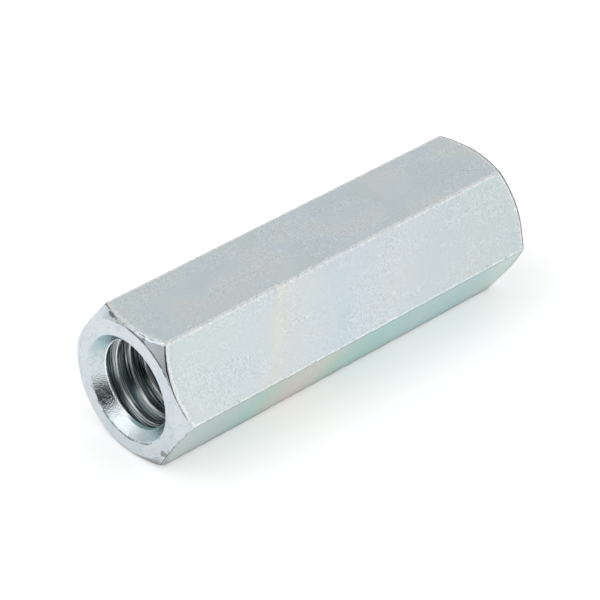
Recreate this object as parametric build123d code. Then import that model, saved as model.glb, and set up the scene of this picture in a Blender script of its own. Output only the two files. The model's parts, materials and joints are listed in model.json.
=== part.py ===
from build123d import *
from math import radians, tan
import os

# Long hexagon nut that joins two threaded rods end to end. It is one solid
# piece, turned and tapped from cold-drawn hexagon bar. Millimetres: the thread
# axis is +X, +Z is up, and the origin is on the thread axis half-way along the
# nut, which lies on one of its six flats.

# Hexagon bar, cut to length
ACROSS_FLATS = 11.0
NUT_LENGTH = 35.0
RIDGE_RADIUS = 0.2

# Metric coarse thread, M8 x 1.25, cut right through
THREAD_DIAMETER = 8.0
THREAD_PITCH = 1.25
MINOR_ALLOWANCE = 0.15  # the tapping drill is this much over the basic minor diameter

# Chamfer turned on the outside of both ends
END_FACE_LAND = 0.18  # end face circle inside the flats, per side
CHAMFER_ANGLE = 36.0  # from the plane of the end face

# Countersink that leads the rod in, at both ends
SINK_OVERSIZE = 0.4  # countersink diameter over the thread diameter
SINK_ANGLE = 75.0  # included angle of the cone
SINK_LIP_RADIUS = 0.1

# How far the minor diameter of a 60 degree metric thread lies under its
# nominal one, as a share of the pitch
MINOR_DEPTH_FACTOR = 1.0825

# How far out the section of the lathe's cuts is drawn, as a share of the width
# across flats. The ridges lie at 0.58.
CUT_REACH_FACTOR = 0.75

MINOR_RADIUS = (THREAD_DIAMETER - MINOR_DEPTH_FACTOR * THREAD_PITCH + MINOR_ALLOWANCE) / 2
SINK_RADIUS = (THREAD_DIAMETER + SINK_OVERSIZE) / 2
SINK_DEPTH = (SINK_RADIUS - MINOR_RADIUS) / tan(radians(SINK_ANGLE / 2))
END_FACE_RADIUS = ACROSS_FLATS / 2 - END_FACE_LAND


def hexagon_bar():
    """Bar with a flat on top and bottom and slightly rounded long ridges."""
    section = RegularPolygon(ACROSS_FLATS / 2, 6, major_radius=False)
    section = fillet(section.vertices(), RIDGE_RADIUS)
    return extrude(Plane.YZ * section, NUT_LENGTH / 2, both=True)


def turned_section():
    """Half section of the lathe's cuts, from the bore out past the ridges."""
    half_length = NUT_LENGTH / 2
    outer_radius = ACROSS_FLATS * CUT_REACH_FACTOR
    chamfer_depth = (outer_radius - END_FACE_RADIUS) * tan(radians(CHAMFER_ANGLE))
    right_half = [
        (half_length - SINK_DEPTH, MINOR_RADIUS),
        (half_length, SINK_RADIUS),
        (half_length, END_FACE_RADIUS),
        (half_length - chamfer_depth, outer_radius),
    ]
    left_half = [(-x, radius) for x, radius in reversed(right_half)]
    section = make_face(Polyline(*right_half, *left_half, close=True))
    lips = [v for v in section.vertices() if abs(v.Y - SINK_RADIUS) < 1e-6]
    return fillet(lips, SINK_LIP_RADIUS)


def coupling_nut():
    """Hexagon bar turned at both ends and bored to the thread's minor diameter."""
    turned = revolve(turned_section(), Axis.X)
    return hexagon_bar() & turned


os.makedirs("parts", exist_ok=True)
nut = coupling_nut()
nut.label = "coupling_nut"
export_step(nut, "parts/coupling_nut.step")
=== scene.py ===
import json
import math
import random

import bmesh
import bpy
from mathutils import Matrix, Vector, noise


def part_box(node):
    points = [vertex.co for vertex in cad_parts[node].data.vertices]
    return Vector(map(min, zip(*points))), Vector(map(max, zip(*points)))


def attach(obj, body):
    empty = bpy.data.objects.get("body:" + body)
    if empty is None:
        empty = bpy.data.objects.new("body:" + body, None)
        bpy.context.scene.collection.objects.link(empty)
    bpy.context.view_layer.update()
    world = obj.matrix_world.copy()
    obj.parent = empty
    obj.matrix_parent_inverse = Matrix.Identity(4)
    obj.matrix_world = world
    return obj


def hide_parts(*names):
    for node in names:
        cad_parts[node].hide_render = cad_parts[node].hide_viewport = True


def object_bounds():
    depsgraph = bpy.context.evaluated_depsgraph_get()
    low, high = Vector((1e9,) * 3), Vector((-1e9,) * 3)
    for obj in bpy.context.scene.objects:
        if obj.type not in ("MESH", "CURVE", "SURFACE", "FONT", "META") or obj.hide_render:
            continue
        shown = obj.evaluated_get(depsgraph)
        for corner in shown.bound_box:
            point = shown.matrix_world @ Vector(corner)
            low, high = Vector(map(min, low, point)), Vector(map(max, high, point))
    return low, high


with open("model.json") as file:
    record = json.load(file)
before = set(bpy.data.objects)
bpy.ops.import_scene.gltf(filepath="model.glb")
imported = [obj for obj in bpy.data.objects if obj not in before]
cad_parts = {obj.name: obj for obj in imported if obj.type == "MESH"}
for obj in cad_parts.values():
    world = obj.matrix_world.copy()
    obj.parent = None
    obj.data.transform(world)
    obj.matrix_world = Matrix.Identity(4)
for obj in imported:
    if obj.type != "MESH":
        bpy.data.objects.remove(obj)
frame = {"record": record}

cad_low, cad_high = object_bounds()

# The nut: one piece of cold-drawn hexagon steel bar, turned at both ends, then
# bored and tapped right through. It is bright zinc plated and passivated, which
# leaves a pale blue film with faint clouds of other tints. Sizes in millimetres.
MM = 0.001
FULL_TURN = 2 * math.pi
SIDES = 6
SECTOR = FULL_TURN / SIDES
nut_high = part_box("coupling_nut")[1]
HALF_LENGTH = nut_high.x / MM
FLAT_RADIUS = nut_high.z / MM
RIDGE_RADIUS = 0.2
END_FACE_LAND = 0.18
FACE_RADIUS = FLAT_RADIUS - END_FACE_LAND
CHAMFER_ANGLE = 36
CHAMFER_SLOPE = math.tan(math.radians(CHAMFER_ANGLE))

# Rounding of the chamfer's outer edge, which the tool cut with a blow at each ridge
ROUNDING_LEAST = 0.1
ROUNDING_GROWTH = 0.34  # for each millimetre of the chamfer's depth
ROUNDING_SWING = 0.32  # how much more of it before a ridge, and how much less after
ROUNDING_TURN = 0.9  # how far that swing is ahead of the ridge, in radians of its own wave

# Dents along the ridges, and the one corner at the left end that is blunted
KNOCK_SEED = 11
KNOCKS_PER_RIDGE = 45
KNOCK_REACH = (0.08, 0.3)
KNOCK_DEPTH = (0.005, 0.035)
KNOCK_SPREAD = 0.07
BLUNTED_RIDGE = 4
BLUNTED_CORNER = (-HALF_LENGTH, 1.0, 0.12, 0.45)  # place, reach, depth and spread

# Rows of vertices: round a ridge, across a flat from its ridges and its middle, and along the bar
ARC_STEPS = 6
ROWS_FROM_RIDGE = (0.04, 0.1, 0.2, 0.4, 0.8)
ROWS_FROM_MIDDLE = (1.4, 0.7)
ROW_STEP = 0.16

NO_EDGE = 9.0  # stands for a place far from any worn edge
DRAWN, TURNED, TAPPED = range(3)


def bar_outline():
    """Points round the bar's section: y, z, the nearest ridge and the way to it along the flat."""
    arc_centre = (FLAT_RADIUS - RIDGE_RADIUS) / math.cos(SECTOR / 2)
    half_flat = (FLAT_RADIUS - RIDGE_RADIUS) * math.tan(SECTOR / 2)
    half_places = [half_flat - away for away in ROWS_FROM_RIDGE] + list(ROWS_FROM_MIDDLE)
    places = half_places + [0.0] + [-place for place in reversed(half_places)]
    points = []
    for ridge in range(SIDES):
        middle = ridge * SECTOR
        for step in range(ARC_STEPS + 1):
            turn = middle + (step / ARC_STEPS - 0.5) * SECTOR
            y = arc_centre * math.cos(middle) + RIDGE_RADIUS * math.cos(turn)
            z = arc_centre * math.sin(middle) + RIDGE_RADIUS * math.sin(turn)
            points.append((y, z, ridge, 0.0))
        flat = middle + SECTOR / 2
        for place in places:
            y = FLAT_RADIUS * math.cos(flat) + place * math.sin(flat)
            z = FLAT_RADIUS * math.sin(flat) - place * math.cos(flat)
            nearest = ridge if place > 0 else (ridge + 1) % SIDES
            points.append((y, z, nearest, half_flat - abs(place)))
    return points


def chamfer_corner(radius, angle):
    """Depth from the end at which the chamfer meets the bar, and how far the rounding there reaches.

    The cut was interrupted, so the tool has left a rounder edge before each ridge than after it.
    """
    depth = (radius - FACE_RADIUS) * CHAMFER_SLOPE
    growth = ROUNDING_GROWTH - ROUNDING_SWING * math.sin(SIDES * angle + ROUNDING_TURN)
    return depth, ROUNDING_LEAST + depth * growth


def ridge_knocks():
    """Dents that handling leaves along each ridge: place along the bar, reach, depth and spread across."""
    rng = random.Random(KNOCK_SEED)
    knocks = []
    for _ in range(SIDES):
        dents = []
        for _ in range(KNOCKS_PER_RIDGE):
            place = rng.uniform(-HALF_LENGTH, HALF_LENGTH)
            dents.append((place, rng.uniform(*KNOCK_REACH), rng.uniform(*KNOCK_DEPTH), KNOCK_SPREAD))
        knocks.append(dents)
    knocks[BLUNTED_RIDGE].append(BLUNTED_CORNER)
    return knocks


outline = bar_outline()
knocks = ridge_knocks()


def knock_depth(ridge, away, x):
    """How far the dents push the surface in at x, at a distance from a ridge."""
    return max(depth * math.exp(-(((x - place) / reach) ** 2) - away / spread)
               for place, reach, depth, spread in knocks[ridge])


nut_mesh = bmesh.new()
from_ridge = nut_mesh.verts.layers.float.new("from_ridge")
from_end = nut_mesh.verts.layers.float.new("from_end")
in_mouth = nut_mesh.verts.layers.float.new("in_mouth")


def add_loop(points):
    """New vertices at points given in millimetres."""
    return [nut_mesh.verts.new(Vector(point) * MM) for point in points]


def join_loops(first, second, finish):
    """Faces between two closed loops that have as many vertices."""
    for i in range(len(first)):
        face = nut_mesh.faces.new((first[i - 1], first[i], second[i], second[i - 1]))
        face.material_index = finish


def bar_loop(share):
    """One loop round the drawn bar. share runs from -1 at the left chamfer to 1 at the right one."""
    points = []
    ends = []
    for y, z, ridge, away in outline:
        corner, rounding = chamfer_corner(math.hypot(y, z), math.atan2(z, y))
        x = share * (HALF_LENGTH - corner - rounding)
        depth = knock_depth(ridge, away, x)
        inwards = ridge * SECTOR
        points.append((x, y - depth * math.cos(inwards), z - depth * math.sin(inwards)))
        ends.append(HALF_LENGTH - corner - abs(x))
    loop = add_loop(points)
    for vert, (_, _, _, away), end in zip(loop, outline, ends):
        vert[from_ridge] = away
        vert[from_end] = end
    return loop


row_count = round(2 * HALF_LENGTH / ROW_STEP)
bar_loops = [bar_loop(2 * i / row_count - 1) for i in range(row_count + 1)]
for first, second in zip(bar_loops, bar_loops[1:]):
    join_loops(first, second, DRAWN)


# The turned ends of the nut: a lathe has chamfered the corners, faced the end
# and cut a countersink, which leaves fine rings and a slightly wavy rim. They
# are part of the same piece of steel, so they go into the same mesh.
SINK_RADIUS = 4.2
SINK_HALF_ANGLE = 75 / 2
SINK_SLOPE = math.tan(math.radians(SINK_HALF_ANGLE))
SINK_LIP_RADIUS = 0.1
MINOR_RADIUS = next(m["dims"]["r_mm"] for m in frame["record"]["mounts"] if m["kind"] == "threaded_hole")
THREAD_COLUMNS = 72
THREAD_SETBACK = 0.05  # from the foot of the countersink's cone to the thread's own mesh
THREAD_START = (SINK_RADIUS - MINOR_RADIUS) / SINK_SLOPE + THREAD_SETBACK

# The mouth of the bore, where the last groove runs out into the countersink at one place
MOUTH_STEP = 0.06
MOUTH_WIDTH = 0.02
MOUTH_ROWS = 5
RUN_OUT = 0.1
RUN_OUT_GAP = 0.04
RUN_OUT_TURN = 1.7
RUN_OUT_SPREAD = 0.55

# Unevenness of the cuts
CHAMFER_NOISE = 12
CHAMFER_UNEVEN = 0.6
CHATTER_NOISE = 6
CHATTER_PLACE = 3  # where each end lies in the noise, so that they differ
CHATTER = 0.03

ROUNDING_STEPS = 4
INNER_STEPS = 3
ROWS_ON_BAR = 2  # rows of the chamfer's rounding that still lie on the drawn bar
SEAM_ANGLE = -0.05  # in radians, just before the first vertex of every loop round the nut


def rounded_corner(before, corner, after, steps):
    """Points of a small rounding from one side of a corner to the other."""
    points = []
    for step in range(steps + 1):
        t = step / steps
        points.append(before.lerp(corner, t).lerp(corner.lerp(after, t), t))
    return points


def chamfer_profile(outer, reach, rounding):
    """Section from the bar's outside over the chamfer to the end face, as depth from the end and radius.

    A row close to each rounding keeps its shading off the plain surface beside it.
    """
    inner = Vector((0.0, FACE_RADIUS))
    way = (inner - outer).normalized()
    small = min(rounding, (inner - outer).length / 3)
    points = rounded_corner(outer + Vector((reach, 0)), outer, outer + way * small, ROUNDING_STEPS)[1:]
    points.append(outer + way * small * 1.3)
    points.append(inner - way * small * 0.8)
    points += rounded_corner(inner - way * small * 0.5, inner, inner - Vector((0, small * 0.5)), INNER_STEPS)
    points.append(inner - Vector((0, small)))
    return points


def run_out(side, angle):
    """How much of the last groove shows in the mouth at one angle, from 0 to 1."""
    away = math.remainder(side * angle - RUN_OUT_TURN, FULL_TURN)
    return math.exp(-((away / RUN_OUT_SPREAD) ** 2))


def sink_profile(shift, groove):
    """Section of the countersink: its rim, the cone, the step at the mouth and the start of the bore."""
    wall = Vector((1.0, -SINK_SLOPE)).normalized()
    corner = Vector((0.0, SINK_RADIUS + shift))
    reach = SINK_LIP_RADIUS * math.tan(math.radians((90 - SINK_HALF_ANGLE) / 2))
    step = MOUTH_STEP + RUN_OUT * groove
    foot = Vector(((SINK_RADIUS - MINOR_RADIUS - step) / SINK_SLOPE, MINOR_RADIUS + step))
    bore = Vector((THREAD_START, MINOR_RADIUS))
    plain_mouth = Vector((foot.x + MOUTH_WIDTH, MINOR_RADIUS))
    grooved_mouth = Vector((THREAD_START - RUN_OUT_GAP, MINOR_RADIUS))
    mouth = plain_mouth.lerp(grooved_mouth, groove)
    points = [corner + Vector((0, reach * 2))]
    points += rounded_corner(corner + Vector((0, reach)), corner, corner + wall * reach, ROUNDING_STEPS)
    points += [points[-1].lerp(foot, share) for share in (0.3, 0.6, 0.95)]
    points += [foot, foot.lerp(mouth, 0.1), foot.lerp(mouth, 0.8)]
    points += [mouth.lerp(bore, 0.5), bore]
    return points


def turned_loops(side, sections):
    """Loops of vertices through like steps of many sections, each given with its angle and outer corner."""
    loops = []
    for step in range(len(sections[0][1])):
        points = []
        for angle, section, _ in sections:
            depth, radius = section[step]
            points.append((side * (HALF_LENGTH - depth), radius * math.cos(angle), radius * math.sin(angle)))
        loop = add_loop(points)
        for vert, (_, section, corner) in zip(loop, sections):
            vert[from_ridge] = NO_EDGE
            vert[from_end] = NO_EDGE
            if corner:
                away = (section[step] - corner).length
                vert[from_end] = away if step < ROWS_ON_BAR else -away
        loops.append(loop)
    return loops


def zip_loops(outer, inner, finish):
    """Triangles across the ring between two loops that don't have as many vertices, in order of angle."""

    def turn(loop, i):
        """Angle of a vertex from the seam, counted on past a whole turn."""
        place = loop[i % len(loop)].co
        return (math.atan2(place.z, place.y) - SEAM_ANGLE) % FULL_TURN + FULL_TURN * (i // len(loop))

    i = j = 0
    while i < len(outer) or j < len(inner):
        corners = [outer[i % len(outer)], inner[j % len(inner)]]
        if j == len(inner) or (i < len(outer) and turn(outer, i + 1) <= turn(inner, j + 1)):
            i += 1
            corners.append(outer[i % len(outer)])
        else:
            j += 1
            corners.append(inner[j % len(inner)])
        nut_mesh.faces.new(corners).material_index = finish


def turned_end(side, bar_end):
    """Chamfer, end face and countersink of one end, joined to the bar's last loop."""
    chamfers = []
    for y, z, ridge, away in outline:
        angle = math.atan2(z, y)
        place = Vector((math.cos(angle), math.sin(angle), side))
        uneven = noise.noise(place * CHAMFER_NOISE)
        radius = math.hypot(y, z) - knock_depth(ridge, away, side * HALF_LENGTH)
        depth, reach = chamfer_corner(radius, angle)
        corner = Vector((depth, radius))
        section = chamfer_profile(corner, reach, reach * (1 + CHAMFER_UNEVEN * uneven))
        chamfers.append((angle, section, corner))
    loops = turned_loops(side, chamfers)
    join_loops(bar_end, loops[0], DRAWN)
    for step, (first, second) in enumerate(zip(loops, loops[1:])):
        join_loops(first, second, DRAWN if step < ROWS_ON_BAR else TURNED)

    sinks = []
    for column in range(THREAD_COLUMNS):
        angle = FULL_TURN * column / THREAD_COLUMNS
        place = Vector((math.cos(angle), math.sin(angle), side * CHATTER_PLACE))
        chatter = noise.noise(place * CHATTER_NOISE)
        sinks.append((angle, sink_profile(CHATTER * chatter, run_out(side, angle)), None))
    sink_loops = turned_loops(side, sinks)
    for loop in sink_loops[-MOUTH_ROWS:]:
        for vert in loop:
            vert[in_mouth] = 1.0
    for first, second in zip(sink_loops, sink_loops[1:]):
        join_loops(first, second, TURNED)
    zip_loops(loops[-1], sink_loops[0], TURNED)


turned_end(-1, bar_loops[0])
turned_end(1, bar_loops[-1])

# The tapped thread of the nut: metric coarse M8 x 1.25, right-hand, cut by a
# tap through the whole bore. Its grooves run out into both countersinks.
THREAD_RADIUS = 4.0
THREAD_PITCH = 1.25
FLANK_SLOPE = math.tan(math.radians(30))
MERGE_DISTANCE = 0.001

# Kinds of node that are used often
MATHS = "ShaderNodeMath"
VECTOR_MATHS = "ShaderNodeVectorMath"
SPAN = "ShaderNodeMapRange"
SPLIT = "ShaderNodeSeparateXYZ"
JOIN = "ShaderNodeCombineXYZ"
NOISE = "ShaderNodeTexNoise"
RAMP = "ShaderNodeValToRGB"
COORDINATE = "ShaderNodeTexCoord"
ATTRIBUTE = "ShaderNodeAttribute"
MATERIAL_OUTPUT = "ShaderNodeOutputMaterial"

# A mix node's inputs go by number, because some share a name: 0 is the factor,
# 2 and 3 are plain values, and 6 and 7 are colours.
MIX = "ShaderNodeMix"
COLOURS = {"output": 2, "data_type": "RGBA"}


def linear(code):
    """An sRGB hex colour as linear RGBA."""
    channels = [int(code[i:i + 2], 16) / 255 for i in (1, 3, 5)]
    return [c / 12.92 if c <= 0.04045 else ((c + 0.055) / 1.055) ** 2.4 for c in channels] + [1.0]


def add(tree, kind, inputs=(), output=0, stops=(), **settings):
    """Adds a node with its settings and colour stops, sets or links its inputs, and gives one output."""
    node = tree.nodes.new(kind)
    for name, value in settings.items():
        setattr(node, name, value)
    if stops:
        elements = node.color_ramp.elements
        elements[0].position, elements[1].position = stops[0][0], stops[-1][0]
        for place, _ in stops[1:-1]:
            elements.new(place)
        for element, (_, code) in zip(elements, stops):
            element.color = linear(code)
    for name, value in inputs.items() if isinstance(inputs, dict) else enumerate(inputs):
        if isinstance(value, bpy.types.NodeSocket):
            tree.links.new(value, node.inputs[name])
        else:
            node.inputs[name].default_value = value
    return node.outputs[output] if node.outputs else node


def thread_tree():
    """Nodes that roll a flat grid up into the thread. Each row of the grid becomes a line along the helix."""
    tree = bpy.data.node_groups.new("tapped_thread", "GeometryNodeTree")
    for name, kind in {
        "Half Length": "Float",
        "Pitch": "Float",
        "Groove Radius": "Float",
        "Minor Radius": "Float",
        "Flank Slope": "Float",
        "Start Depth": "Float",
        "Start Turn": "Float",
        "Entry": "Float",
        "Root Rounding": "Float",
        "Crest Rounding": "Float",
        "Columns": "Int",
        "Rows per Turn": "Int",
        "Finish": "Material",
    }.items():
        tree.interface.new_socket(name, in_out="INPUT", socket_type="NodeSocket" + kind)
    tree.interface.new_socket("Thread", in_out="OUTPUT", socket_type="NodeSocketGeometry")
    size = add(tree, "NodeGroupInput").node.outputs

    # The grid is one turn wide, and three turns longer than the bore, so that it reaches past both ends.
    reach = add(tree, MATHS, (size["Half Length"], size["Start Depth"]), operation="SUBTRACT")
    half_turns = add(tree, MATHS, (reach, size["Pitch"]), operation="DIVIDE")
    long_enough = add(tree, MATHS, (half_turns, 2.0, 3.0), operation="MULTIPLY_ADD")
    turns = add(tree, MATHS, (long_enough,), operation="CEIL")
    columns = add(tree, MATHS, (size["Columns"], 1.0), operation="ADD")
    rows = add(tree, MATHS, (turns, size["Rows per Turn"], 1.0), operation="MULTIPLY_ADD")
    grid = add(tree, "GeometryNodeMeshGrid", (1.0, 1.0, columns, rows))
    spot = add(tree, SPLIT, (add(tree, "GeometryNodeInputPosition"),)).node.outputs
    turn = add(tree, MATHS, (spot["X"], 0.5), operation="ADD")
    angle = add(tree, MATHS, (turn, FULL_TURN), operation="MULTIPLY")
    turns_along = add(tree, MATHS, (spot["Y"], turns), operation="MULTIPLY")
    along = add(tree, MATHS, (turns_along, size["Pitch"]), operation="MULTIPLY")
    lead = add(tree, MATHS, (turn, size["Start Turn"]), operation="ADD")
    x = add(tree, MATHS, (lead, size["Pitch"], along), operation="MULTIPLY_ADD")

    # Radius of the thread: groove root, then flank, then the flat crest that the drill left. The root's
    # flat is an eighth of the pitch wide.
    half_pitch = add(tree, MATHS, (size["Pitch"], 2.0), operation="DIVIDE")
    half_root = add(tree, MATHS, (size["Pitch"], 16.0), operation="DIVIDE")
    from_middle = add(tree, MATHS, (along, half_pitch), operation="PINGPONG")
    from_root = add(tree, MATHS, (from_middle, half_root), operation="SUBTRACT")
    rise = add(tree, MATHS, (from_root, size["Flank Slope"]), operation="DIVIDE")
    flank = add(tree, MATHS, (size["Groove Radius"], rise), operation="SUBTRACT")
    groove = add(tree, MATHS, (size["Groove Radius"], flank, size["Root Rounding"]), operation="SMOOTH_MIN")
    tooth = add(tree, MATHS, (groove, size["Minor Radius"], size["Crest Rounding"]), operation="SMOOTH_MAX")

    # The countersink was cut last. Its tool has rolled the first groove shut at the mouth, so the groove
    # opens over a short way. Rows that lie past the end are held at it.
    off_middle = add(tree, MATHS, (x,), operation="ABSOLUTE")
    depth = add(tree, MATHS, (reach, off_middle), operation="SUBTRACT")
    opening = {"Value": depth, "From Max": size["Entry"]}
    opened = add(tree, SPAN, opening, interpolation_type="SMOOTHSTEP")
    radius = add(tree, MIX, {0: opened, 2: size["Minor Radius"], 3: tooth}, data_type="FLOAT")
    left_reach = add(tree, MATHS, (reach, -1.0), operation="MULTIPLY")
    held = add(tree, "ShaderNodeClamp", (x, left_reach, reach))

    y_share = add(tree, MATHS, (angle,), operation="COSINE")
    z_share = add(tree, MATHS, (angle,), operation="SINE")
    y = add(tree, MATHS, (radius, y_share), operation="MULTIPLY")
    z = add(tree, MATHS, (radius, z_share), operation="MULTIPLY")
    place = add(tree, JOIN, (held, y, z))
    rolled = add(tree, "GeometryNodeSetPosition", {"Geometry": grid, "Position": place})
    closed = add(tree, "GeometryNodeMergeByDistance", {"Geometry": rolled, "Distance": MERGE_DISTANCE * MM})
    plain = add(tree, "GeometryNodeRealizeInstances", (closed,))
    finished = add(tree, "GeometryNodeSetMaterial", {"Geometry": plain, "Material": size["Finish"]})
    add(tree, "NodeGroupOutput", (finished,))
    return tree


# The nut's three finishes: one zinc plate on steel that was drawn, turned or
# tapped, so that each part of it takes the light in its own way.
def metal(name):
    """A new material with an empty tree and the place on the nut in millimetres.

    So the scale of a noise is how many of its features go into a millimetre.
    """
    material = bpy.data.materials.new(name)
    material.use_nodes = True
    tree = material.node_tree
    tree.nodes.clear()
    spot = add(tree, COORDINATE, output="Object")
    return material, tree, add(tree, VECTOR_MATHS, {0: spot, 1: (1 / MM,) * 3}, operation="MULTIPLY")


def finish_with(material, tree, colour, height, roughness):
    """Ends the tree of a metal finish, whose height is in millimetres."""
    bumped = add(tree, "ShaderNodeBump", {"Height": height, "Distance": MM})
    shader = add(tree, "ShaderNodeBsdfPrincipled", {
        "Base Color": colour,
        "Metallic": 1.0,
        "Roughness": roughness,
        "Normal": bumped,
    })
    add(tree, MATERIAL_OUTPUT, (shader,))
    return material


BURR_SHIFT = 0.045  # from the edge, onto the chamfer at the left end and onto the flats at the right end
BURR_HEAVIER = 0.09  # at the right end, and as much lighter at the left end
BURR_PAINTED_SHADE = 0.15  # painted shade: heavier by this much where the edge faces down or back


def burr_and_painted_shade_line(tree, spot, colour):
    """The colour with a thin, broken dark line along the chamfer's outer edge, partly burr and partly painted
    shade.

    The burr lies on the chamfer at the left end and on the flats at the right end, where it is heavier.
    Below and behind, where the edge faces down or back, painted shade widens the line and makes it whole.
    """
    which_end = add(tree, MATHS, (add(tree, SPLIT, (spot,)),), operation="SIGN")
    normal = add(tree, SPLIT, (add(tree, COORDINATE, output="Normal"),)).node.outputs
    # Painted shade: the line widens where the edge's normal points down or back.
    below = add(tree, SPAN, {"Value": normal["Z"], "From Min": -0.2, "From Max": -0.6, "To Max": BURR_PAINTED_SHADE})
    behind = add(tree, SPAN, {"Value": normal["Y"], "From Min": 0.1, "From Max": 0.4, "To Max": BURR_PAINTED_SHADE})
    painted_shade_weight = add(tree, MATHS, (below, behind), operation="MAXIMUM")
    breaks = add(tree, NOISE, {"Vector": spot, "Scale": 1.8, "Detail": 5.0, "Roughness": 0.75})
    heavy = add(tree, MATHS, (which_end, BURR_HEAVIER, painted_shade_weight), operation="MULTIPLY_ADD")
    weight = add(tree, MATHS, (breaks, heavy), operation="ADD")
    width = add(tree, SPAN, {"Value": weight, "From Min": 0.31, "From Max": 0.55, "To Max": 0.09})
    end = add(tree, ATTRIBUTE, output="Fac", attribute_name="from_end")
    from_line = add(tree, MATHS, (which_end, -BURR_SHIFT, end), operation="MULTIPLY_ADD")
    off_line = add(tree, MATHS, (from_line,), operation="ABSOLUTE")
    inside = add(tree, MATHS, (width, off_line), operation="SUBTRACT")
    line = add(tree, SPAN, {"Value": inside, "From Max": 0.03, "To Max": 0.85})
    return add(tree, MIX, {0: line, 6: colour, 7: linear("#4F5255")}, **COLOURS)


# How the film and the wear lie on the drawn bar
BAND_SLANT = -0.7  # how far the film's bands lean along the bar for each millimetre of height
BAND_WOBBLE = 3.0  # how far they wander along it
DRIP_WOBBLE = 2.0  # the same for the tints of the lower flats
END_BAND_PLACE = 0.2  # of the worn band beside the chamfer's edge, from that edge; the band is also a painted highlight
END_BAND_SHARE = 0.65  # how much a distance from that band counts against one from a ridge
RUB_HEIGHT = 0.03  # of the roughened edges
CRYSTAL_HEIGHT = 0.004


def drained_film(tree, spot, facing_up, below):
    """Tints of the passivating film, whose thickness changes along the bar, with painted shade on the lower
    flats.
    """
    way = add(tree, SPLIT, (spot,)).node.outputs
    wobble = add(tree, NOISE, {"Vector": spot, "Scale": 0.35, "Detail": 3.0})

    # Bands that ran aslant as the film drained, and clouds, which are most of what shows on a flat that
    # faced up.
    aslant = add(tree, MATHS, (way["Z"], BAND_SLANT, way["X"]), operation="MULTIPLY_ADD")
    wavy = add(tree, MATHS, (wobble, BAND_WOBBLE, aslant), operation="MULTIPLY_ADD")
    share = add(tree, SPAN, {
        "Value": wavy,
        "From Min": BAND_WOBBLE / 2 - HALF_LENGTH,
        "From Max": BAND_WOBBLE / 2 + HALF_LENGTH,
    })
    bands = add(tree, RAMP, (share,), stops=[
        (0.0, "#D2DCDB"), (0.19, "#D2DCDE"), (0.22, "#E0DED6"), (0.25, "#DDDCDA"), (0.33, "#D6DEDE"),
        (0.4, "#CDD9E3"), (0.5, "#CFDAE2"), (0.58, "#D4DCDF"), (0.7, "#CCD8DE"), (0.8, "#CED9D8"),
        (1.0, "#CAD6D9"),
    ])
    cloud = add(tree, NOISE, {
        "Vector": spot,
        "Scale": 0.2,
        "Detail": 3.0,
        "Roughness": 0.55,
        "Distortion": 0.5,
    })
    clouds = add(tree, RAMP, (cloud,), stops=[
        (0.35, "#CEDBDC"), (0.45, "#D1DCE1"), (0.52, "#D4DEDF"), (0.6, "#D8DCDC"), (0.68, "#D2DDDB"),
    ])
    cloudy = add(tree, SPAN, {
        "Value": facing_up,
        "From Min": 0.6,
        "From Max": 0.9,
        "To Min": 0.35,
        "To Max": 0.85,
    })
    plain = add(tree, MIX, {0: cloudy, 6: bands, 7: clouds}, **COLOURS)

    # On the lower flats, where drops hung while the film dried, the tints are stronger, and darker as painted
    # shade.
    wavy_below = add(tree, MATHS, (wobble, DRIP_WOBBLE, way["X"]), operation="MULTIPLY_ADD")
    share_below = add(tree, SPAN, {
        "Value": wavy_below,
        "From Min": DRIP_WOBBLE / 2 - HALF_LENGTH,
        "From Max": DRIP_WOBBLE / 2 + HALF_LENGTH,
    })
    strong_tints_and_painted_shade = add(tree, RAMP, (share_below,), stops=[
        (0.0, "#C8D6D2"), (0.15, "#C4D2CF"), (0.235, "#B5D6D0"), (0.3, "#CCD6C9"), (0.36, "#DCD4D1"),
        (0.41, "#D5D6CD"), (0.47, "#BDD5CD"), (0.57, "#B0D5CF"), (0.72, "#C0D6D6"), (0.85, "#B4D5D6"),
        (0.93, "#C6D8D2"),
    ])
    return add(tree, MIX, {0: below, 6: plain, 7: strong_tints_and_painted_shade}, **COLOURS)


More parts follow.
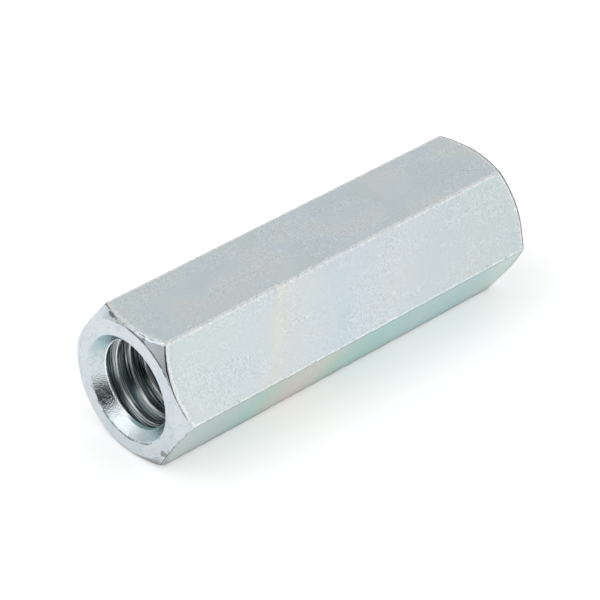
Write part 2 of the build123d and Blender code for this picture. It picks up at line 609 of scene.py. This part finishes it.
def worn_edges_and_painted_light(tree, spot, facing_up, below, colour):
    """The colour with worn edges, and beside it how worn each spot is and how far the wear stands out.

    The edges are worn bright in broken stretches, least on the two ridges at the sides, with a few dark pits.
    That bright colour is also a painted highlight where the edges face up; where they face down they are
    painted darker as shade, with a broken line of painted shade.
    """
    ridge = add(tree, ATTRIBUTE, output="Fac", attribute_name="from_ridge")
    end = add(tree, ATTRIBUTE, output="Fac", attribute_name="from_end")
    from_band = add(tree, MATHS, (end, END_BAND_PLACE), operation="SUBTRACT")
    off_band = add(tree, MATHS, (from_band,), operation="ABSOLUTE")
    end_band = add(tree, MATHS, (off_band, END_BAND_SHARE), operation="MULTIPLY")
    wander = add(tree, NOISE, {"Vector": spot, "Scale": 4.5, "Detail": 4.0, "Roughness": 0.8})
    width = add(tree, SPAN, {
        "Value": wander,
        "From Min": 0.38,
        "From Max": 0.66,
        "To Min": -0.05,
        "To Max": 0.16,
    })
    height = add(tree, SPLIT, (spot,), output="Z")
    off_side = add(tree, MATHS, (height,), operation="ABSOLUTE")
    spared = add(tree, SPAN, {"Value": off_side, "From Min": 2.0, "From Max": 1.0, "To Max": 0.06})
    spared_ridge = add(tree, MATHS, (ridge, spared), operation="ADD")
    reached = add(tree, MATHS, (spared_ridge, end_band), operation="MINIMUM")
    inside = add(tree, MATHS, (width, reached), operation="SUBTRACT")
    worn = add(tree, SPAN, {"Value": inside, "From Min": -0.07, "From Max": 0.07, "To Max": 0.9})
    # Painted highlight on worn edges that face up, painted shade on those that face down.
    bright = add(tree, SPAN, {"Value": facing_up, "From Min": -0.55, "From Max": -0.25})
    painted_light_edge_colour = add(tree, MIX, {0: bright, 6: linear("#7F8A8A"), 7: linear("#F7F9F8")}, **COLOURS)
    colour = add(tree, MIX, {0: worn, 6: colour, 7: painted_light_edge_colour}, **COLOURS)

    edge = add(tree, MATHS, (ridge, end_band), operation="MINIMUM")
    by_edge = add(tree, SPAN, {"Value": edge, "From Min": 0.3, "From Max": 0.02})
    dust = add(tree, NOISE, {"Vector": spot, "Scale": 5.5, "Detail": 3.0, "Roughness": 0.6})
    pit = add(tree, SPAN, {"Value": dust, "From Min": 0.6, "From Max": 0.68, "To Max": 0.6})
    pitted = add(tree, MATHS, (pit, by_edge), operation="MULTIPLY")
    colour = add(tree, MIX, {0: pitted, 6: colour, 7: linear("#88908F")}, **COLOURS)

    # A thin broken line of painted shade just under the side ridges and along the lower ones, where the edges
    # face down.
    painted_shade_reach = add(tree, SPAN, {"Value": ridge, "From Min": 0.18, "From Max": 0.08, "To Max": 0.7})
    left = add(tree, SPAN, {"Value": dust, "From Min": 0.35, "From Max": 0.5})
    broken_painted_shade = add(tree, MATHS, (painted_shade_reach, left), operation="MULTIPLY")
    painted_shade_under_edges = add(tree, MATHS, (broken_painted_shade, below), operation="MULTIPLY")
    colour = add(tree, MIX, {0: painted_shade_under_edges, 6: colour, 7: linear("#646C6C")}, **COLOURS)

    rub = add(tree, MATHS, (wander, by_edge), operation="MULTIPLY")
    return colour, worn, add(tree, MATHS, (rub, RUB_HEIGHT), operation="MULTIPLY")


def drawn_finish():
    """Bright zinc plate on cold-drawn bar: satin, fine grained, with a thin film that tints it in clouds."""
    material, tree, spot = metal("zinc_plate_on_drawn_steel")
    facing_up = add(tree, SPLIT, (add(tree, COORDINATE, output="Normal"),), output="Z")
    below = add(tree, SPAN, {"Value": facing_up, "From Min": -0.2, "From Max": -0.45})
    colour = drained_film(tree, spot, facing_up, below)

    # Zinc crystals, drawn about 0.15 mm across so that they show, which is much coarser than real ones.
    # They show more in patches drawn out along the bar.
    grain = add(tree, NOISE, {"Vector": spot, "Scale": 6.5, "Detail": 2.0, "Roughness": 0.7})
    drawn_out = add(tree, VECTOR_MATHS, {0: spot, 1: (0.35, 1.0, 1.0)}, operation="MULTIPLY")
    patches = add(tree, NOISE, {"Vector": drawn_out, "Scale": 0.6, "Detail": 4.0, "Roughness": 0.65})
    patch = add(tree, SPAN, {"Value": patches, "From Min": 0.42, "From Max": 0.6, "To Min": 0.2})
    speckle = add(tree, SPAN, {
        "Value": grain,
        "From Min": 0.33,
        "From Max": 0.67,
        "To Min": 0.87,
        "To Max": 1.18,
    })
    speckle_here = add(tree, MIX, {0: patch, 2: 1.0, 3: speckle}, data_type="FLOAT")
    colour = add(tree, MIX, {0: 1.0, 6: colour, 7: speckle_here}, blend_type="MULTIPLY", **COLOURS)

    colour, worn, rub = worn_edges_and_painted_light(tree, spot, facing_up, below, colour)
    colour = burr_and_painted_shade_line(tree, spot, colour)
    height = add(tree, MATHS, (grain, CRYSTAL_HEIGHT, rub), operation="MULTIPLY_ADD")
    satin = add(tree, SPAN, {
        "Value": patches,
        "From Min": 0.3,
        "From Max": 0.7,
        "To Min": 0.27,
        "To Max": 0.38,
    })
    roughness = add(tree, MIX, {0: worn, 2: satin, 3: 0.4}, data_type="FLOAT")
    return finish_with(material, tree, colour, height, roughness)


def polar(tree, spot):
    """Radius, angle and place along the axis, round the thread axis."""
    flat_spot = add(tree, VECTOR_MATHS, {0: spot, 1: (0.0, 1.0, 1.0)}, operation="MULTIPLY")
    radius = add(tree, VECTOR_MATHS, (flat_spot,), output="Value", operation="LENGTH")
    way = add(tree, SPLIT, (spot,)).node.outputs
    angle = add(tree, MATHS, (way["Z"], way["Y"]), operation="ARCTAN2")
    return radius, angle, way["X"]


TEAL_TURN = 0.9  # turns the teal film to the side of the countersink where it pooled
TEAL_UNEVEN = 0.8
MOUTH_HIGHLIGHT_TURN = -0.1  # turns the painted highlight on the mouth's edge from the back a little upwards
# Broken dark lines of painted shade round the turned end
EDGE_LINES = [
    # radius, turn, how much it keeps to one side, least share and width
    (SINK_RADIUS + 0.04, 1.5, 0.16, 0.53, 0.1),
    (FACE_RADIUS + 0.04, -2.0, 1.0, 1.3, 0.08),
    (FACE_RADIUS + 0.02, 1.5, 0.3, 0.53, 0.05),
]
EDGE_LINE_SPREAD = 0.23  # from the least share to the one at which a line is full width
OLD_KNOCKS = [
    # x, y, z, reach and darkness
    (-16.95, 2.35, 5.57, 0.2, 0.9),
    (-17.04, 2.0, 5.59, 0.24, 0.9),
    (-17.11, 1.6, 5.62, 0.16, 0.8),
    (-17.2, -1.4, 5.47, 0.16, 0.6),
    # the last one, at the lower corner, is painted shade where that facet mirrors the shadow under the nut
    (-17.25, -3.92, -3.22, 0.38, 0.7),
]
FULL_DARK_SHARE = 0.7  # of an old knock's reach
SHAKE = 0.4  # how far the outlines of the old knocks wander

# Heights of the lathe's marks, and how fast they change along their own length
GRAIN_HEIGHT = 0.025
STREAK_HEIGHT = 0.003
STREAK_CHANGE = 0.1
RING_HEIGHT = 0.002
RING_CHANGE = 0.15


def turned_film(tree, spot, angle, inside):
    """Tints of the turned ends: pale lavender blue with faint blotches, and teal in the countersink."""
    clouds = add(tree, NOISE, {"Vector": spot, "Scale": 0.9, "Detail": 4.0, "Roughness": 0.6})
    pale = add(tree, RAMP, (clouds,), stops=[(0.35, "#CAD7DA"), (0.5, "#D3DAE1"), (0.65, "#D6DDDF")])
    turned_angle = add(tree, MATHS, (angle, TEAL_TURN), operation="ADD")
    side = add(tree, MATHS, (turned_angle,), operation="COSINE")
    uneven = add(tree, MATHS, (clouds, TEAL_UNEVEN, side), operation="MULTIPLY_ADD")
    sided = add(tree, SPAN, {"Value": uneven, "From Min": 1.0, "From Max": 0.4})
    film = add(tree, MIX, {0: sided, 6: linear("#D3DEE1"), 7: linear("#B8D5DC")}, **COLOURS)
    return add(tree, MIX, {0: inside, 6: pale, 7: film}, **COLOURS)


def painted_shade_lines(tree, spot, radius, angle, colour):
    """The colour with broken dark lines of painted shade along the countersink's rim and round the edge of
    the end face, each heavier to one side.
    """
    breaks = add(tree, NOISE, {"Vector": spot, "Scale": 1.6, "Detail": 4.0, "Roughness": 0.7})
    for middle, turn, weight, least, thickest in EDGE_LINES:
        from_ring = add(tree, MATHS, (radius, middle), operation="SUBTRACT")
        off_ring = add(tree, MATHS, (from_ring,), operation="ABSOLUTE")
        turned_angle = add(tree, MATHS, (angle, turn), operation="ADD")
        towards = add(tree, MATHS, (turned_angle,), operation="COSINE")
        share = add(tree, MATHS, (towards, weight, breaks), operation="MULTIPLY_ADD")
        width = add(tree, SPAN, {
            "Value": share,
            "From Min": least,
            "From Max": least + EDGE_LINE_SPREAD,
            "To Max": thickest,
        })
        within = add(tree, MATHS, (width, off_ring), operation="SUBTRACT")
        line = add(tree, SPAN, {"Value": within, "From Max": 0.03})
        colour = add(tree, MIX, {0: line, 6: colour, 7: linear("#838D92")}, **COLOURS)
    return colour


def knock_marks(tree, spot, colour):
    """The colour with old knocks on the left chamfer, dark with residue of the plating bath; the one at the
    lower corner is painted shade.
    """
    shake = add(tree, NOISE, {"Vector": spot, "Scale": 3.0}, output="Color")
    shaken = add(tree, VECTOR_MATHS, {0: shake, 1: (SHAKE,) * 3, 2: spot}, operation="MULTIPLY_ADD")
    for x, y, z, reach, darkness in OLD_KNOCKS:
        away = add(tree, VECTOR_MATHS, {0: shaken, 1: (x, y, z)}, output="Value", operation="DISTANCE")
        dark = add(tree, SPAN, {
            "Value": away,
            "From Min": reach,
            "From Max": reach * FULL_DARK_SHARE,
            "To Max": darkness,
        })
        colour = add(tree, MIX, {0: dark, 6: colour, 7: linear("#66756F")}, **COLOURS)
    return colour


def turned_finish():
    """Zinc plate on steel cut by a lathe tool: paler than the flats, with fine rings.

    The countersink has a coarse burnished grain, streaks down the cone and a thin dark line of painted shade
    round its rim.
    """
    material, tree, spot = metal("zinc_plate_on_turned_steel")
    radius, angle, x = polar(tree, spot)
    inside = add(tree, SPAN, {"Value": radius, "From Min": SINK_RADIUS, "From Max": SINK_RADIUS - 0.06})
    colour = turned_film(tree, spot, angle, inside)
    # Painted shade: dark lines round the countersink's rim and the end face's edge.
    colour = painted_shade_lines(tree, spot, radius, angle, colour)

    # The mouth's edge: a painted highlight on the stretch that faces the back, and darker round the rest of
    # the mouth.
    turned_angle = add(tree, MATHS, (angle, MOUTH_HIGHLIGHT_TURN), operation="ADD")
    facing = add(tree, MATHS, (turned_angle,), operation="COSINE")
    painted_highlight_side = add(tree, SPAN, {"Value": facing, "From Max": 0.3})
    mouth_highlight_colour = add(tree, MIX, {0: painted_highlight_side, 6: linear("#7B9296"), 7: linear("#FAFCFC")}, **COLOURS)
    mouth = add(tree, ATTRIBUTE, output="Fac", attribute_name="in_mouth")
    colour = add(tree, MIX, {0: mouth, 6: colour, 7: mouth_highlight_colour}, **COLOURS)

    # Drying marks on the end face: thin wandering lines, a little darker.
    pool = add(tree, NOISE, {"Vector": spot, "Scale": 0.7, "Detail": 4.0, "Roughness": 0.6})
    from_mark = add(tree, MATHS, (pool, 0.5), operation="SUBTRACT")
    off_mark = add(tree, MATHS, (from_mark,), operation="ABSOLUTE")
    mark = add(tree, SPAN, {"Value": off_mark, "From Min": 0.012, "From Max": 0.0, "To Max": 0.6})
    colour = add(tree, MIX, {0: mark, 6: colour, 7: linear("#AAB4B6")}, **COLOURS)
    colour = burr_and_painted_shade_line(tree, spot, knock_marks(tree, spot, colour))

    # Grain of the burnished cone, about 0.1 mm, and streaks about 0.15 mm wide that run down it.
    grain = add(tree, NOISE, {"Vector": spot, "Scale": 12.0, "Detail": 1.0, "Roughness": 0.5})
    round_it = add(tree, MATHS, (angle, SINK_RADIUS), operation="MULTIPLY")
    down_it = add(tree, MATHS, (x, STREAK_CHANGE), operation="MULTIPLY")
    on_cone = add(tree, JOIN, (round_it, down_it, 0.0))
    streaks = add(tree, NOISE, {"Vector": on_cone, "Scale": 6.0, "Detail": 3.0})
    low_streaks = add(tree, MATHS, (streaks, STREAK_HEIGHT), operation="MULTIPLY")
    cone_height = add(tree, MATHS, (grain, GRAIN_HEIGHT, low_streaks), operation="MULTIPLY_ADD")

    # Rings of the facing cut, much fainter. They are drawn 0.12 mm apart, a little coarser than real ones.
    along_ring = add(tree, MATHS, (angle, RING_CHANGE), operation="MULTIPLY")
    on_face = add(tree, JOIN, (radius, along_ring, 0.0))
    rings = add(tree, NOISE, {"Vector": on_face, "Scale": 8.0, "Detail": 2.0})
    face_height = add(tree, MATHS, (rings, RING_HEIGHT), operation="MULTIPLY")
    height = add(tree, MIX, {0: inside, 2: face_height, 3: cone_height}, data_type="FLOAT")
    return finish_with(material, tree, colour, height, roughness=0.22)


SCORE_HEIGHT = 0.075  # more than a real score's, so that it shows
SCORE_CHANGE = 0.08  # how fast a score changes along the helix


def tapped_finish():
    """Steel cut by the tap and thinly plated: dull, scored along the helix, and darker towards the roots as
    painted shade.
    """
    material, tree, spot = metal("thin_zinc_on_tapped_steel")
    radius, angle, x = polar(tree, spot)
    # Painted shade: the colour darkens from the crest towards the roots.
    painted_root_shade_fade = add(tree, SPAN, {"Value": radius, "From Min": MINOR_RADIUS + 0.5, "From Max": MINOR_RADIUS})
    plain = add(tree, MIX, {0: painted_root_shade_fade, 6: linear("#9AADB0"), 7: linear("#E2E9E9")}, **COLOURS)

    # The scores that the tap's teeth left, drawn about 0.12 mm apart, coarser than real ones.
    lead = add(tree, MATHS, (angle, THREAD_PITCH / FULL_TURN), operation="MULTIPLY")
    across = add(tree, MATHS, (x, lead), operation="SUBTRACT")
    along = add(tree, MATHS, (angle, SCORE_CHANGE), operation="MULTIPLY")
    on_helix = add(tree, JOIN, (across, radius, along))
    scores = add(tree, NOISE, {"Vector": on_helix, "Scale": 8.0, "Detail": 2.0, "Roughness": 0.7})
    shade = add(tree, SPAN, {
        "Value": scores,
        "From Min": 0.42,
        "From Max": 0.56,
        "To Min": 0.2,
        "To Max": 1.35,
    })
    colour = add(tree, MIX, {0: 1.0, 6: plain, 7: shade}, blend_type="MULTIPLY", **COLOURS)
    height = add(tree, MATHS, (scores, SCORE_HEIGHT), operation="MULTIPLY")
    return finish_with(material, tree, colour, height, roughness=0.28)


finishes = [drawn_finish(), turned_finish(), tapped_finish()]

thread_nodes = thread_tree()
thread = bpy.data.objects.new("thread", bpy.data.meshes.new("thread"))
bpy.context.scene.collection.objects.link(thread)
tapping = thread.modifiers.new("tapping", "NODES")
tapping.node_group = thread_nodes
for name, value in {
    "Half Length": HALF_LENGTH * MM,
    "Pitch": THREAD_PITCH * MM,
    "Groove Radius": THREAD_RADIUS * MM,
    "Minor Radius": MINOR_RADIUS * MM,
    "Flank Slope": FLANK_SLOPE,
    "Start Depth": THREAD_START * MM,
    "Start Turn": 0.3,
    "Entry": 0.12 * MM,
    "Root Rounding": 0.08 * MM,
    "Crest Rounding": 0.03 * MM,
    "Columns": THREAD_COLUMNS,
    "Rows per Turn": 22,
    "Finish": finishes[TAPPED],
}.items():
    tapping[thread_nodes.interface.items_tree[name].identifier] = value
depsgraph = bpy.context.evaluated_depsgraph_get()
thread_mesh = bpy.data.meshes.new_from_object(thread.evaluated_get(depsgraph))
bpy.data.objects.remove(thread)

# The thread joins the rest of the nut's mesh at the bore's first and last loops.
turned_faces = len(nut_mesh.faces)
nut_mesh.from_mesh(thread_mesh)
nut_mesh.faces.ensure_lookup_table()
for face in nut_mesh.faces[turned_faces:]:
    face.material_index = TAPPED
bmesh.ops.remove_doubles(nut_mesh, verts=nut_mesh.verts, dist=MERGE_DISTANCE * MM)
bmesh.ops.recalc_face_normals(nut_mesh, faces=nut_mesh.faces)
for face in nut_mesh.faces:
    face.smooth = True
plated = bpy.data.meshes.new("plated_nut")
nut_mesh.to_mesh(plated)
nut_mesh.free()
for finish in finishes:
    plated.materials.append(finish)
nut = bpy.data.objects.new("plated_nut", plated)
bpy.context.scene.collection.objects.link(nut)
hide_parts("coupling_nut")
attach(nut, "root")

# The floor: a wide sheet of matt white paper that the nut lies on. It isn't
# part of the nut. What the camera and the metal see of it is lifted to white.
FLOOR_HALF = 3.0  # metres
FLOOR_LIFT = 0.33
FLOOR_LIFT_SEEN = 0.38
RESTING_SHARE = 0.58  # half the width of the flat that the nut lies on, as a share of its radius
RESTING_BLUR = 0.3  # on both sides of that flat's outline, in millimetres
paper = bpy.data.meshes.new("paper_floor")
paper.from_pydata(
    [(x * FLOOR_HALF, y * FLOOR_HALF, cad_low.z) for x, y in ((-1, -1), (1, -1), (1, 1), (-1, 1))],
    [],
    [(0, 1, 2, 3)],
)


def paper_finish():
    """Matt white paper. The metal sees it lifted only where the nut doesn't lie on it."""
    material = bpy.data.materials.new("matt_white_paper")
    material.use_nodes = True
    tree = material.node_tree
    tree.nodes.clear()
    matt = add(tree, "ShaderNodeBsdfDiffuse", {"Color": linear("#F2F2F2")})
    spot = add(tree, SPLIT, (add(tree, COORDINATE, output="Object"),)).node.outputs
    from_axis = add(tree, MATHS, (spot["Y"],), operation="ABSOLUTE")
    past_side = add(tree, MATHS, (from_axis, nut_high.z * RESTING_SHARE), operation="SUBTRACT")
    from_middle = add(tree, MATHS, (spot["X"],), operation="ABSOLUTE")
    past_end = add(tree, MATHS, (from_middle, nut_high.x), operation="SUBTRACT")
    past = add(tree, MATHS, (past_side, past_end), operation="MAXIMUM")
    blur = RESTING_BLUR * MM
    open_floor = add(tree, SPAN, {"Value": past, "From Min": -blur, "From Max": blur})
    path = add(tree, "ShaderNodeLightPath").node.outputs
    mirrored = add(tree, MATHS, (path["Is Glossy Ray"], open_floor), operation="MULTIPLY")
    seen = add(tree, MATHS, (path["Is Camera Ray"], FLOOR_LIFT_SEEN), operation="MULTIPLY")
    lift = add(tree, MATHS, (mirrored, FLOOR_LIFT, seen), operation="MULTIPLY_ADD")
    glow = add(tree, "ShaderNodeEmission", {"Color": linear("#FFFFFF"), "Strength": lift})
    add(tree, MATERIAL_OUTPUT, (add(tree, "ShaderNodeAddShader", (matt, glow)),))
    return material


paper.materials.append(paper_finish())
floor = bpy.data.objects.new("paper_floor", paper)
bpy.context.scene.collection.objects.link(floor)

# The studio: a pale room with a few darker cards and a bright one, whose
# reflections give the metal its shape. The camera itself sees plain white all
# round.
ROOM_LEVEL = 0.76
CARDS = [
    # towards, degrees across at full strength, degrees across in all, change of level
    ((-0.69, -0.62, 0.37), 44, 68, -0.75),
    ((-0.93, 0.0, 0.37), 10, 70, -0.2),
    ((0.1, 0.98, 0.15), 20, 60, -0.35),
    ((1.0, 0.0, 0.05), 30, 60, -0.6),
    ((0.05, -0.97, 0.22), 24, 76, 0.34),
]


def studio():
    """World shader: an even room with cards for the object, and plain white for the camera."""
    world = bpy.data.worlds.new("studio")
    world.use_nodes = True
    tree = world.node_tree
    tree.nodes.clear()
    way = add(tree, COORDINATE, output="Generated")
    level = ROOM_LEVEL
    for middle, full, whole, change in CARDS:
        towards = Vector(middle).normalized()
        near = add(tree, VECTOR_MATHS, {0: way, 1: towards}, output="Value", operation="DOT_PRODUCT")
        card = add(tree, SPAN, {
            "Value": near,
            "From Min": math.cos(math.radians(whole / 2)),
            "From Max": math.cos(math.radians(full / 2)),
            "To Max": change,
        })
        level = add(tree, MATHS, (level, card), operation="ADD")
    room = add(tree, "ShaderNodeBackground", {"Color": linear("#FFFFFF"), "Strength": level})
    white = add(tree, "ShaderNodeBackground", {"Color": linear("#FFFFFF"), "Strength": 1.0})
    seen = add(tree, "ShaderNodeLightPath", output="Is Camera Ray")
    add(tree, "ShaderNodeOutputWorld", (add(tree, "ShaderNodeMixShader", (seen, room, white)),))
    return world


bpy.context.scene.world = studio()
bpy.context.scene.view_settings.view_transform = "Standard"


def soft_box(name, way, distance, width, height, radiance):
    """A soft box that faces the nut from a given way, with its sizes in metres.

    Its power follows from how bright its face looks.
    """
    lamp = bpy.data.lights.new(name, "AREA")
    lamp.shape = "RECTANGLE"
    lamp.size = width
    lamp.size_y = height
    lamp.energy = radiance * math.pi * width * height
    lamp_object = bpy.data.objects.new(name, lamp)
    bpy.context.scene.collection.objects.link(lamp_object)
    unit = Vector(way).normalized()
    lamp_object.location = unit * distance
    lamp_object.rotation_euler = unit.to_track_quat("Z", "Y").to_euler()


soft_box("key_soft_box", (-0.58, 0.18, 0.80), distance=0.5, width=0.5, height=0.5, radiance=0.72)
soft_box("front_soft_box", (0.50, -0.83, 0.3), distance=0.6, width=0.45, height=0.25, radiance=0.15)

# The camera: a long lens that looks down on the left end of the nut, from the
# photograph's side. The place, in metres, and the angles were found by matching
# the nut's edges.
CAMERA_PLACE = Vector((-0.1320, -0.1309, 0.1367))
CAMERA_YAW = -0.7873
CAMERA_PITCH = 0.6357
CAMERA_ROLL = 0.0547
LENS = 187.3
SENSOR_WIDTH = 36
view = bpy.data.cameras.new("camera")
view.sensor_width = SENSOR_WIDTH
view.lens = LENS
view.clip_start = 0.01
view.clip_end = 20
camera = bpy.data.objects.new("camera", view)
bpy.context.scene.collection.objects.link(camera)
turned = Matrix.Rotation(CAMERA_YAW, 4, "Z") @ Matrix.Rotation(math.pi / 2 - CAMERA_PITCH, 4, "X")
camera.matrix_world = Matrix.Translation(CAMERA_PLACE) @ turned @ Matrix.Rotation(CAMERA_ROLL, 4, "Z")
bpy.context.scene.camera = camera
